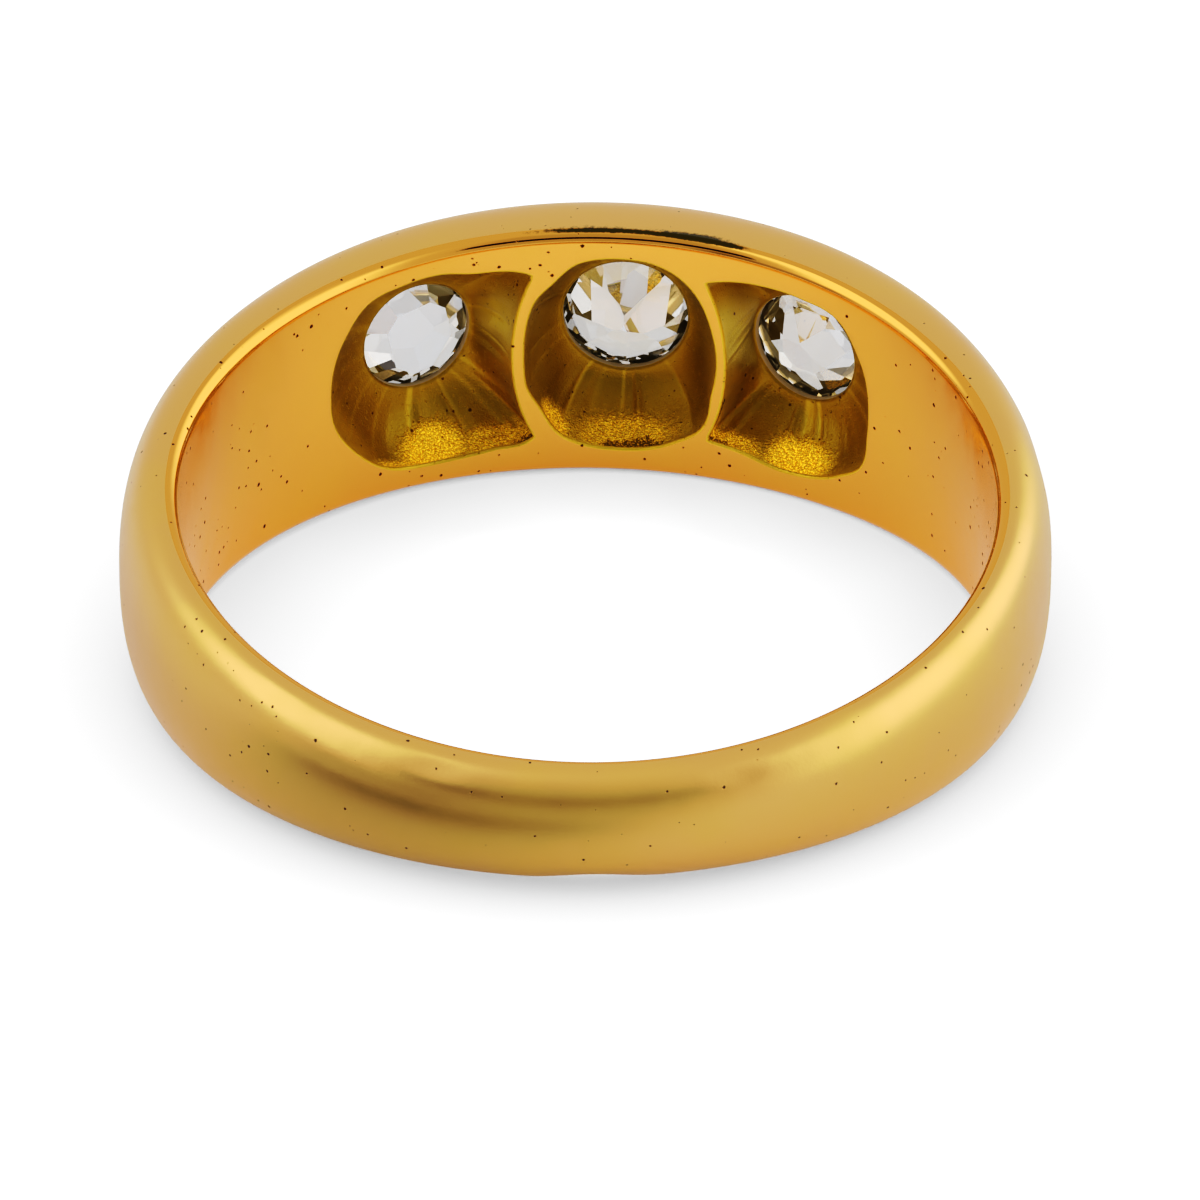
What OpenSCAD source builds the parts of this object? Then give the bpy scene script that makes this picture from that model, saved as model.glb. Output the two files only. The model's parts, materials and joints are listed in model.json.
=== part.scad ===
// Flush set ring with three stones, lying on its side as it rests on a table.
// The ring is made about the Z axis with its head towards +Y, then leaned onto its lower edge.

/* [Finger bore] */
// Diameter of the finger bore
bore_d = 18; // [17:0.5:20]
// Rounding of the two inner edges
edge_r = 0.28; // [0.2:0.02:0.34]

/* [Band] */
// Width of the head where it is widest
head_w = 6.5; // [6.2:0.1:7]
// Thickness of the head where it is thickest
head_t = 2.9; // [2.8:0.1:3.1]
// Squareness of the cross section at the head, 2 is an ellipse
head_square = 3; // [2.6:0.1:3.4]
// Squareness of the cross section at the back of the shank
shank_square = 2; // [2:0.1:2.6]

/* [Stones] */
// Girdle diameter of the centre stone
centre_d = 3.4; // [3.2:0.1:3.5]
// Girdle diameter of the two side stones
side_d = 3.2; // [3:0.1:3.3]
// Turn from the centre stone to the left stone
left_turn = 26.5; // [26:0.5:28]
// Turn from the centre stone to the right stone
right_turn = 23.5; // [23:0.5:25]
// Lean of the side stones away from the centre, square to the falling top of the head
side_lean = 5; // [3:0.5:7]
// Table width as a part of the girdle diameter
table_part = 0.5; // [0.46:0.01:0.54]
// Crown height as a part of the girdle diameter
crown_part = 0.18; // [0.16:0.01:0.19]
// Pavilion depth of the centre stone as a part of its girdle diameter
centre_pavilion = 0.3; // [0.28:0.01:0.32]
// Culet width of the centre stone as a part of its girdle diameter
centre_culet = 0.11; // [0.08:0.01:0.14]
// Pavilion depth of the two shallow side stones as a part of their girdle diameter
side_pavilion = 0.14; // [0.12:0.01:0.16]
// Culet width of the two shallow side stones as a part of their girdle diameter
side_culet = 0.5; // [0.46:0.01:0.52]
// Height of the girdle
girdle_h = 0.08; // [0.06:0.01:0.1]
// Clearance between a stone and its seat
seat_gap = 0.04; // [0.03:0.01:0.05]

/* [Openings behind the stones] */
// Rim left between the girdle and the round hole under a stone
bearing_w = 0.27; // [0.24:0.01:0.3]
// Length of the round hole, from the scoop to the bearing
hole_h = 0.2; // [0.15:0.05:0.3]
// Half width of the centre scoop along the bore wall
centre_scoop_w = 2.15; // [2.1:0.05:2.2]
// Reach of the left scoop from its stone, away from the centre
left_scoop_w = 2.8; // [2.7:0.05:2.85]
// Reach of the right scoop from its stone, away from the centre
right_scoop_w = 2.55; // [2.4:0.05:2.6]
// Half length of the centre scoop across the band
centre_scoop_h = 2.54; // [2.4:0.02:2.58]
// Half length of the left scoop across the band
left_scoop_h = 2.5; // [2.4:0.02:2.54]
// Half length of the right scoop across the band
right_scoop_h = 2.38; // [2.3:0.02:2.46]
// Squareness of the scoop outlines
scoop_square = 2.4; // [2.2:0.1:2.8]
// Hollowness of the scoop walls, 1 is a straight funnel and 2 is round
scoop_hollow = 1.5; // [1.2:0.1:1.8]
// Width of the metal rib between two scoops at its narrowest
rib_w = 0.33; // [0.28:0.01:0.4]
// Half length of the oval that the outer sides of the ribs follow
rib_oval_h = 3.6; // [3.4:0.1:4]

/* [Rest] */
// Lean of the ring towards its narrow shank as it lies on its side
rest_lean = 5.34; // [5:0.02:5.6]
// Roll of the ring towards its wider left side as it lies on its side
rest_roll = 0.87; // [0.7:0.01:1]

/* [Hidden] */

bore_r = bore_d / 2;

// One row for each 30 degrees of the band, starting at the back of the shank.
// The rows are the control values of a smooth closed curve.
// [width in % of head_w, thickness in % of head_t]
rows = [
    [41, 49],     // back of the shank
    [44, 43],
    [56, 37],
    [69, 39.5],   // right side
    [81.5, 53],
    [96.5, 85],
    [100, 100],   // middle of the head
    [97.5, 87],
    [88, 59],
    [78, 46.5],   // left side
    [64, 40],
    [49.5, 45],
];
back_of_shank = -90;
middle_of_head = 90;
row_turn = 360 / len(rows);

turn_steps = 96;      // cross sections round the band
side_steps = 10;      // steps from the side edge to the middle of the outer face
edge_steps = 3;       // steps of the rounded inner edge
edge_end = 20;        // angle at which the rounded edge meets the bore wall
core_r = bore_r - 0.25;   // inner limit of the solid that the bore is cut from

outline_steps = 40;   // points round a scoop
scoop_steps = 4;      // rings of a scoop from the bore wall to the hole
scoop_start_r = bore_r - 0.7;
scoop_lip = 0.1;      // straight part of a scoop wall next to the bore
hole_ledge = 0.06;    // the small flat left round the hole
rib_side_reach = 1.25;    // a side scoop reaches further on its rib side, where the rib cuts it off

mouth_w = 0.1;        // overlap of the burnished metal on the crown
mouth_bevel = 60;     // angle of the bright bevel round a stone
crown_clear = 0.07;   // room for the facet edges under the burnished metal
table_stand = 0.02;   // a table stands proud of the metal by this much

star_reach = 0.5;     // where the star facets end, between table and girdle
half_reach = 0.7;     // where the half facets end, between culet and girdle
eighth = 8;           // the main facets go eight times round
half_turn = 180 / eighth; // turn of the kite facets against the table's corners
seat_open = 0.5;      // the cut for the burnished mouth reaches this far above a table
bore_cut_h = 3 * head_w;  // length of the cut for the bore
seat_steps = 96;
bore_steps = 240;

// Smooth closed curve through the rows, by the uniform cubic B-spline
function row_at(i, column) = rows[(i + len(rows)) % len(rows)][column];
function blend4(u) =
    [pow(1 - u, 3), 3 * pow(u, 3) - 6 * u * u + 4, -3 * pow(u, 3) + 3 * u * u + 3 * u + 1, pow(u, 3)] / 6;
function along_rows(turn, column) =
    let (place = (turn - back_of_shank + 360) / row_turn, i = floor(place), w = blend4(place - i))
    w * [for (k = [-1:2]) row_at(i + k, column)];
function half_width(turn) = along_rows(turn, 0) / 100 * head_w / 2;
function thickness(turn) = along_rows(turn, 1) / 100 * head_t;
function squareness(turn) = shank_square + (head_square - shank_square) * (1 + sin(turn)) / 2;

function power(x, p) = sign(x) * pow(abs(x), p);
function polar(r, turn, z) = [r * cos(turn), r * sin(turn), z];

// Half of a cross section as [distance from the axis, height], from the bore wall to the outer face
function upper_section(turn) =
    let (h = half_width(turn), t = thickness(turn), p = 2 / squareness(turn))
    concat(
        [[core_r, h - edge_r + edge_r * sin(edge_end) - (bore_r - core_r) / tan(edge_end)]],
        [for (i = [0:edge_steps]) let (a = edge_end + (90 - edge_end) * i / edge_steps)
            [bore_r + edge_r * (1 - cos(a)), h - edge_r * (1 - sin(a))]],
        [for (i = [1:side_steps]) let (a = 90 * i / side_steps)
            [bore_r + edge_r + (t - edge_r) * power(sin(a), p), h * power(cos(a), p)]]
    );
function section(turn) =
    let (up = upper_section(turn), n = len(up))
    concat(up, [for (i = [n - 2:-1:0]) [up[i][0], -up[i][1]]]);

// Triangles between closed rings of points, each ring listed the same way round
function tube_faces(rings, count, closed) =
    [for (i = [0:rings - (closed ? 1 : 2)], j = [0:count - 1])
        let (a = i * count + j, b = i * count + (j + 1) % count,
             c = (i + 1) % rings * count + j, d = (i + 1) % rings * count + (j + 1) % count)
        each [[a, c, d], [a, d, b]]];

skin_points = [for (i = [0:turn_steps - 1])
    let (turn = back_of_shank + 360 * i / turn_steps)
    for (q = section(turn)) polar(q[0], turn, q[1])];
section_count = len(section(0));

centre_turn = middle_of_head + 0.5;

// One row for each stone and the scoop behind it.
// [girdle diameter, turn round the band, lean, reach of the scoop, half length of the scoop,
// pavilion depth and culet width as parts of the diameter]
centre = [centre_d, centre_turn, 0, centre_scoop_w, centre_scoop_h, centre_pavilion, centre_culet];
left = [side_d, centre_turn + left_turn, side_lean, left_scoop_w, left_scoop_h, side_pavilion, side_culet];
right = [side_d, centre_turn - right_turn, -side_lean, right_scoop_w, right_scoop_h, side_pavilion, side_culet];

// A stone's own frame has the middle of the girdle at its origin and the table facing up.
function girdle_r(s) = s[0] / 2;
function table_r(s) = girdle_r(s) * table_part;
function culet_r(s) = girdle_r(s) * s[6];
function table_z(s) = girdle_h / 2 + s[0] * crown_part;
function culet_z(s) = -girdle_h / 2 - s[0] * s[5];
function crown_slope(s) = s[0] * crown_part / (girdle_r(s) - table_r(s));
function pavilion_slope(s) = s[0] * s[5] / (girdle_r(s) - culet_r(s));

// The table lies flush with the head, so this is the distance of the stone's origin from the bore axis
function seat_r(s) = bore_r + thickness(s[1]) + table_stand - table_z(s);
function turned(p, a) = [p[0] * cos(a) - p[1] * sin(a), p[0] * sin(a) + p[1] * cos(a), p[2]];
function to_ring(s, p) = turned(turned([p[2], p[1], -p[0]], s[2]) + [seat_r(s), 0, 0], s[1]);
module at_seat(s) {
    rotate([0, 0, s[1]]) translate([seat_r(s), 0, 0]) rotate([0, 0, s[2]]) rotate([0, 90, 0]) children();
}

// Place of the resting ring: leaned onto its lower edge, with the middle of its box above the origin
function leaned(p) =
    let (y = p[1] * cos(rest_lean) - p[2] * sin(rest_lean),
         z = p[1] * sin(rest_lean) + p[2] * cos(rest_lean))
    [p[0] * cos(rest_roll) + z * sin(rest_roll), y, z * cos(rest_roll) - p[0] * sin(rest_roll)];
centre_table = [for (q = ring_of(table_r(centre), table_z(centre), eighth, 0)) to_ring(centre, q)];
resting_points = [for (p = concat(skin_points, centre_table)) leaned(p)];
function axis_values(points, k) = [for (p = points) p[k]];
low = [for (k = [0:2]) min(axis_values(resting_points, k))];
high = [for (k = [0:2]) max(axis_values(resting_points, k))];
module at_rest() {
    translate([-(low[0] + high[0]) / 2, -(low[1] + high[1]) / 2, -low[2]])
        rotate([0, rest_roll, 0]) rotate([rest_lean, 0, 0]) children();
}

// An old brilliant cut: table, star, kite and girdle facets above, main and half facets and a culet below.
// A main facet is a plane that falls from the table edge, or rises from the culet, to a point of the girdle.
function ring_of(r, z, count, start) = [for (i = [0:count - 1]) polar(r, start + 360 * i / count, z)];
function main_z(s, r) = table_z(s) - (r * cos(half_turn) - table_r(s)) * crown_slope(s);
function half_z(s, r) = culet_z(s) + (r - culet_r(s)) * cos(half_turn) * pavilion_slope(s);
function star_r(s) = table_r(s) * cos(half_turn) * (1 - star_reach) + girdle_r(s) * star_reach;
function half_r(s) = culet_r(s) * (1 - half_reach) + girdle_r(s) * half_reach;
module cut_stone(s) {
    n = eighth;
    points = concat(
        ring_of(table_r(s), table_z(s), n, 0),
        ring_of(star_r(s), main_z(s, star_r(s)), n, half_turn),
        ring_of(girdle_r(s), girdle_h / 2, 2 * n, 0),
        ring_of(girdle_r(s), -girdle_h / 2, 2 * n, 0),
        ring_of(half_r(s), half_z(s, half_r(s)), n, half_turn),
        ring_of(culet_r(s), culet_z(s), n, half_turn));
    // Where each ring of points starts
    star = n;
    top = 2 * n;
    bottom = 4 * n;
    half = 6 * n;
    culet = 7 * n;
    facets = concat(
        [[for (i = [n - 1:-1:0]) i], [for (i = [0:n - 1]) culet + i]],
        [for (i = [0:n - 1]) let (next = (i + 1) % n, last = (i + n - 1) % n,
                                  here = 2 * i, after = 2 * i + 1, two = (2 * i + 2) % (2 * n))
            each [
                [i, next, star + i],
                [i, star + i, top + here, star + last],
                [star + i, top + after, top + here],
                [star + i, top + two, top + after],
                [half + i, bottom + here, bottom + after],
                [half + i, bottom + after, bottom + two],
                [bottom + here, half + i, culet + i, culet + last, half + last]
            ]],
        [for (j = [0:2 * n - 1]) let (k = (j + 1) % (2 * n)) [top + j, top + k, bottom + k, bottom + j]]);
    polyhedron(points, facets);
}

// Round seat of a stone: the hole below, the bearing under the pavilion, the groove of the girdle
// and the burnished mouth over the edge of the crown
under = girdle_h / 2 + seat_gap;
function hole_r(s) = girdle_r(s) - bearing_w;
function groove_r(s) = girdle_r(s) + seat_gap;
function bearing_z(s) = -under - (groove_r(s) - hole_r(s)) * pavilion_slope(s);
function hole_z(s) = bearing_z(s) - hole_h;
module seat(s) {
    hole_r = hole_r(s);
    groove_r = groove_r(s);
    mouth_r = girdle_r(s) - mouth_w;
    mouth_z = under + (groove_r - mouth_r) * crown_slope(s) + crown_clear;
    top = table_z(s) + seat_open;
    rotate_extrude($fn = seat_steps) polygon([
        [0, hole_z(s)],
        [hole_r, hole_z(s)],
        [hole_r, bearing_z(s)],
        [groove_r, -under],
        [groove_r, under],
        [mouth_r, mouth_z],
        [mouth_r + (top - mouth_z) / tan(mouth_bevel), top],
        [0, top]
    ]);
}

// Depth of a scoop, from the bore wall to the round hole
function scoop_depth(s) = seat_r(s) + hole_z(s) - bore_r;

// Outline of a scoop on the bore wall, as its reach from the stone's axis in one direction.
// A side scoop stops at the oval that leaves the rib beside the centre scoop.
function oval_reach(a, w, h) =
    1 / pow(pow(abs(cos(a)) / w, scoop_square) + pow(abs(sin(a)) / h, scoop_square), 1 / scoop_square);
function rib_reach(a, from) =
    let (w = centre_scoop_w + rib_w, p = pow(cos(a) / w, 2) + pow(sin(a) / rib_oval_h, 2),
         q = from * cos(a) / (w * w), d = q * q - p * (from * from / (w * w) - 1))
    d > 0 && q < 0 ? (-q - sqrt(d)) / p : 2 * rib_oval_h;
function scoop_reach(s, a) =
    let (from = (s[1] - centre_turn) * bore_r * PI / 180, towards_rib = from * cos(a) < 0)
    from == 0 ? oval_reach(a, s[3], s[4])
              : min(oval_reach(a, s[3] * (towards_rib ? rib_side_reach : 1), s[4]), rib_reach(a, from));

// Hollow scoop from the bore wall to the round hole under a stone, as rings of points
function scoop_rim(s, a, r) =
    let (reach = scoop_reach(s, a))
    polar(r, s[1] + reach * cos(a) / bore_r * 180 / PI, reach * sin(a));
function scoop_end(s, a) =
    let (r = hole_r(s) - hole_ledge)
    to_ring(s, [-r * sin(a), r * cos(a), hole_z(s) + hole_ledge]);
function scoop_point(s, a, step) =
    let (rim = scoop_rim(s, a, bore_r + scoop_lip), deep = scoop_rim(s, a, bore_r + scoop_depth(s)),
         end = scoop_end(s, a), b = 90 * step / scoop_steps, p = 2 / scoop_hollow)
    deep + (rim - deep) * (1 - power(sin(b), p)) + (end - deep) * (1 - power(cos(b), p));
module scoop(s) {
    angles = [for (j = [0:outline_steps - 1]) 360 * j / outline_steps];
    points = concat(
        [for (a = angles) scoop_rim(s, a, scoop_start_r)],
        [for (k = [0:scoop_steps], a = angles) scoop_point(s, a, k)]);
    rings = scoop_steps + 2;
    polyhedron(points, concat(
        tube_faces(rings, outline_steps, false),
        [[for (j = [0:outline_steps - 1]) j]],
        [[for (j = [outline_steps - 1:-1:0]) (rings - 1) * outline_steps + j]]));
}

module band() {
    color("goldenrod") at_rest() difference() {
        polyhedron(skin_points, tube_faces(turn_steps, section_count, true));
        cylinder(h = bore_cut_h, r = bore_r, center = true, $fn = bore_steps);
        for (s = [centre, left, right]) {
            at_seat(s) seat(s);
            scoop(s);
        }
    }
}
module centre_stone() { color("lightcyan") at_rest() at_seat(centre) cut_stone(centre); }
module left_stone() { color("lightcyan") at_rest() at_seat(left) cut_stone(left); }
module right_stone() { color("lightcyan") at_rest() at_seat(right) cut_stone(right); }

band();
centre_stone();
left_stone();
right_stone();
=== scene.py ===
import json
from collections import namedtuple
from math import cos, pi, radians, sin

import bmesh
import bpy
import numpy as np
from bpy.props import FloatProperty, FloatVectorProperty, PointerProperty
from mathutils import Matrix, Vector
from mathutils.geometry import delaunay_2d_cdt


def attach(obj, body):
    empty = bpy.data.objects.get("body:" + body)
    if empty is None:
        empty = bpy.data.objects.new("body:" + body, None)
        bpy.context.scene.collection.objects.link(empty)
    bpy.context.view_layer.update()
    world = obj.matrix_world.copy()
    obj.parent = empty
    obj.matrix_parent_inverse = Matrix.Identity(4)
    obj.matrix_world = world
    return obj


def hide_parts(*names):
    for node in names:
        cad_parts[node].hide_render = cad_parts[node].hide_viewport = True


bl_info = {
    "name": "Flush set ring",
    "version": (1, 0, 0),
    "blender": (4, 5, 0),
    "location": "3D View > Sidebar > Ring",
    "description": "An old gold ring with three flush set stones, lying on its side on a pale floor",
    "category": "Add Mesh",
}

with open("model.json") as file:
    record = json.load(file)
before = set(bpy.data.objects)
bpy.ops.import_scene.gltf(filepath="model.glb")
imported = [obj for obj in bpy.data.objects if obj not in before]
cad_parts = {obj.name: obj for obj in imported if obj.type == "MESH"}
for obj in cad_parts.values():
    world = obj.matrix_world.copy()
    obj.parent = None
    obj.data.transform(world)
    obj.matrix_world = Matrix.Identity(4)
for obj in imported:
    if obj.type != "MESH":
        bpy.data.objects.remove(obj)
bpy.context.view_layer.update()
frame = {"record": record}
BODY = "root"
MM = 0.001

# One row for each 30 degrees of the band, starting at the back of the shank.
# The rows are the control values of a smooth closed curve.
# (width in % of the head's, thickness in % of the head's)
BAND_ROWS = np.array([
    (41, 49),      # back of the shank
    (44, 43),
    (56, 37),
    (69, 39.5),    # right side
    (81.5, 53),
    (96.5, 85),
    (100, 100),    # middle of the head
    (97.5, 87),
    (88, 59),
    (78, 46.5),    # left side
    (64, 40),
    (49.5, 45),
])
BACK_OF_SHANK = -90
MIDDLE_OF_HEAD = 90

# Small dents that years of wear left on the outside of the band, in degrees and millimetres.
# Across is 0 at the upper edge, 90 in the middle of the outer face and 180 at the lower edge.
Dent = namedtuple("Dent", "turn across half_turn half_across depth")
DENTS = (
    Dent(-84, 150, 9, 34, 0.07),
    Dent(-104, 30, 6, 16, 0.025),
    Dent(-66, 38, 5, 18, 0.02),
    Dent(-128, 26, 7, 14, 0.02),
    Dent(18, 60, 8, 25, 0.025),
    Dent(160, 70, 7, 25, 0.02),
)

# A stone with the scoop behind it. Directions run round the stone's axis, 0 towards the left of the
# photograph and 90 up. A mark changes the outline of the scoop: (direction, half width, change in mm). A
# fold is a crease from the outline to the hole: (direction, half width, height in mm). Bright metal that
# the tool left, which also carries painted glints, and soot lie in patches: (direction, half width, first
# and last share of the way from the bore wall to the hole, how much). The cut turn is how far the facets
# are turned, in degrees.
Stone = namedtuple(
    "Stone",
    "node diameter turn lean scoop_reach scoop_half marks folds bright soot shape cut_turn",
)
DOWN = -90
# How far each scoop reaches to a side and up, before its marks and ribs
CENTRE_SCOOP = (2.15 * MM, 2.54 * MM)
LEFT_SCOOP = (2.8 * MM, 2.5 * MM)
RIGHT_SCOOP = (2.55 * MM, 2.38 * MM)
CENTRE_MARKS = ((-40, 22, -0.12), (52, 18, -0.10), (222, 22, 0.13), (178, 30, 0.06))
LEFT_MARKS = ((-36, 34, -0.19), (52, 20, 0.10), (110, 22, -0.11), (230, 12, 0.12))
RIGHT_MARKS = ((126, 22, 0.12), (210, 20, 0.12), (-64, 32, -0.17))
CENTRE_FOLDS = ((232, 20, 0.10), (-48, 24, 0.06), (130, 20, 0.05))
LEFT_FOLDS = ((-66, 26, 0.16), (226, 24, 0.16), (150, 22, 0.08), (20, 30, -0.04))
RIGHT_FOLDS = ((-56, 26, 0.14), (-97, 12, 0.05), (232, 26, 0.12), (40, 24, 0.06))
CENTRE_BRIGHT = ((-92, 46, -0.1, 0.5, 0.62), (-52, 20, -0.1, 0.35, 0.8), (125, 40, 0.0, 0.5, 0.35))
LEFT_BRIGHT = (
    (-90, 30, -0.1, 0.6, 0.9),
    (-68, 24, -0.1, 0.2, 0.7),
    (-120, 30, -0.1, 0.4, 0.6),
    (60, 40, 0.1, 0.6, 0.25),
)
RIGHT_BRIGHT = ((-100, 32, -0.1, 0.55, 1.0), (-62, 30, -0.1, 0.3, 0.75), (130, 40, 0.0, 0.5, 0.3))
CENTRE_SOOT = ((-97, 26, -0.2, 0.14, 1.0),)
LEFT_SOOT = ((-135, 14, -0.2, 0.14, 0.8),)
RIGHT_SOOT = ((-50, 20, -0.2, 0.12, 0.9),)

# How a stone is cut: the depth of its pavilion and the width of its culet, as shares of the girdle's
# diameter, how much the slopes of an old stone's facets differ, in degrees, and its rings of facets above
# and below the girdle. A ring of like facets has how many go round, the turn of the first, their slope
# against the table and how far inside the girdle each plane meets the girdle's edge, as a share of its
# radius. A plane that meets it outside only cuts the corners of the table or the culet.
Facets = namedtuple("Facets", "count first slope inset")
Shape = namedtuple("Shape", "pavilion culet uneven above below")
# Main facets round a stone, and half the turn from one to the next in degrees
MAINS = 8
HALF_STEP = 180 / MAINS
CENTRE_SHAPE = Shape(0.3, 0.11, 1.6, (
    Facets(MAINS, HALF_STEP, 38, 0.0),
    Facets(2 * MAINS, HALF_STEP / 2, 42, 0.012),
), (
    Facets(MAINS, HALF_STEP, 34, 0.0),
    Facets(2 * MAINS, HALF_STEP / 2, 39, 0.03),
))
LEFT_SHAPE = Shape(0.14, 0.5, 2.4, (
    Facets(MAINS, HALF_STEP, 44, 0.0),
    Facets(2 * MAINS, HALF_STEP / 2, 48, 0.012),
    Facets(MAINS, 0, 16, -0.64),
), (
    Facets(MAINS, HALF_STEP, 30, 0.0),
    Facets(2 * MAINS, HALF_STEP / 2, 38, 0.02),
))
RIGHT_SHAPE = Shape(0.14, 0.5, 1.6, (
    Facets(MAINS, HALF_STEP, 40, 0.0),
    Facets(2 * MAINS, HALF_STEP / 2, 44, 0.012),
    Facets(MAINS, 0, 22, -0.33),
), (
    Facets(MAINS, HALF_STEP, 32, 0.0),
    Facets(2 * MAINS, HALF_STEP / 2, 40, 0.02),
    Facets(MAINS, 0, 14, -0.22),
))
# How unevenly the facets of an old stone meet the girdle, as a share of its radius
UNEVEN_INSET = 0.012
# In degrees, how far the left stone is turned about its axis, and how far the centre stone sits to the left
# of the middle of the head
LEFT_CUT_TURN = 11
CENTRE_ASIDE = 0.5

# Shares of the stone's girdle diameter and small fixed fits, as the seat is cut
TABLE_PART = 0.5
CROWN_PART = 0.18
GIRDLE_HEIGHT = 0.08 * MM
SEAT_GAP = 0.04 * MM
BEARING_WIDTH = 0.27 * MM
MOUTH_OVERLAP = 0.1 * MM
MOUTH_BEVEL = radians(60)
MOUTH_REACH = 1.5 * MM
CROWN_CLEARANCE = 0.07 * MM
HOLE_EDGE = 0.05 * MM
TABLE_STAND = 0.02 * MM

# The scoops: the powers of their outline and of their section, where 2 is an ellipse, the half length of
# the ovals that the two ribs follow, and how much further a side scoop would reach if there were no rib
SCOOP_SQUARE = 2.4
SCOOP_HOLLOW = 1.5
RIB_OVAL_HALF = 3.6 * MM
RIB_SIDE_REACH = 1.25

# File marks down a scoop's wall: how many, the range of their half widths in degrees, their usual height,
# how much higher they are below the stone, and over how many degrees
STREAKS = 60
STREAK_HALVES = (1.5, 5)
STREAK_HEIGHT = 0.014 * MM
STREAK_FAN = 1.6
STREAK_FAN_HALF = 60
# How the file marks tint the patina: the height that tints fully, how much it does, over how many degrees
# below the stone, and what share of it is left everywhere else
RAY_HEIGHT = 0.03 * MM
RAY_SHARE = 0.6
RAY_FAN = 75
RAY_LEAST = 0.3
# How much thinner the patina and the painted shade are at a scoop's sides than above and below its hole
SIDE_PALE = 0.65
# How far a patch fades past its ends, as a share of the way to the hole, and how much its middle is raised
# before it is cut off at its full amount
PATCH_FADE = 0.12
PATCH_RAISE = 1.6

# A painted dark reflection along the upper inner edge of the head, in the soot colour: (turn, half width,
# how dark), and how dark it is on each of the edge's first rows of points
EDGE_DARK_REFLECTION = ((93, 20, 0.8), (78, 11, 1.0))
EDGE_DARK_REFLECTION_ROWS = (0.6, 1.0, 0.8)

# How finely the band and the stones are made
TURN_STEPS = 400
ACROSS_STEPS = 72
EDGE_STEPS = 7
BORE_STEPS = 24
OUTLINE_STEPS = 320
LIP_STEPS = 5
SCOOP_STEPS = 34
SEAT_STEPS = 96
GIRDLE_STEPS = 64
MOUTH_HALVINGS = 30
# The part of the band that holds the openings, in degrees
OPENINGS = (36, 148)
# How near to an opening the grid's own points are left out, in the units of its patch
WALL_MARGIN = 0.05
FACE_MARGIN = 0.06
# Degrees of turn and across that make about one unit of the outer face's patch
FACE_UNIT = (5, 20)
# Places of a patch nearer than this are one, in its units, and so are corners of a cut stone, in metres
SAME_PLACE = 1e-7
SAME_CORNER = 1e-8

FINISHES = ("satin", "bore", "edge", "scoop", "seat")
SATIN, BORE, EDGE, SCOOP, SEAT = range(len(FINISHES))


class RingSizes(bpy.types.PropertyGroup):
    """Sizes of the gold band and its place on the floor"""

    bore: FloatProperty(
        name="Bore", description="Diameter of the finger bore", default=18 * MM, unit="LENGTH", precision=4)
    edge: FloatProperty(
        name="Inner edge", description="Rounding of the two inner edges",
        default=0.28 * MM, unit="LENGTH", precision=5)
    head_width: FloatProperty(
        name="Head width", description="Width that 100 % stands for in the band's rows",
        default=6.5 * MM, unit="LENGTH", precision=4)
    head_thickness: FloatProperty(
        name="Head thickness", description="Thickness that 100 % stands for in the band's rows",
        default=2.9 * MM, unit="LENGTH", precision=4)
    head_square: FloatProperty(
        name="Squareness of the head", description="Power of the cross section at the head, 2 is an ellipse",
        default=3)
    shank_square: FloatProperty(
        name="Squareness of the shank", description="Power of the cross section at the back of the shank",
        default=2)
    lean: FloatProperty(
        name="Lean", description="Lean of the resting ring towards its narrow shank",
        default=radians(5.34), unit="ROTATION")
    roll: FloatProperty(
        name="Roll", description="Roll of the resting ring towards its wider left side",
        default=radians(0.87), unit="ROTATION")


class StoneSizes(bpy.types.PropertyGroup):
    """Sizes and places of the stones and of the openings behind them"""

    centre: FloatProperty(
        name="Centre stone", description="Girdle diameter of the centre stone",
        default=3.4 * MM, unit="LENGTH", precision=4)
    side: FloatProperty(
        name="Side stones", description="Girdle diameter of the two side stones",
        default=3.2 * MM, unit="LENGTH", precision=4)
    left_turn: FloatProperty(
        name="Left turn", description="Turn from the centre stone to the left stone",
        default=radians(26.5), unit="ROTATION")
    right_turn: FloatProperty(
        name="Right turn", description="Turn from the centre stone to the right stone",
        default=radians(23.5), unit="ROTATION")
    side_lean: FloatProperty(
        name="Side lean", description="Lean of the side stones away from the centre",
        default=radians(5), unit="ROTATION")
    hole_height: FloatProperty(
        name="Hole height", description="Length of the round hole from a scoop to the stone's bearing",
        default=0.2 * MM, unit="LENGTH", precision=5)
    rib_width: FloatProperty(
        name="Rib width", description="Width of the metal rib between two scoops at its narrowest",
        default=0.33 * MM, unit="LENGTH", precision=5)
    lip: FloatProperty(
        name="Lip", description="Worn rounding of a scoop's rim",
        default=0.06 * MM, unit="LENGTH", precision=5)


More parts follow.
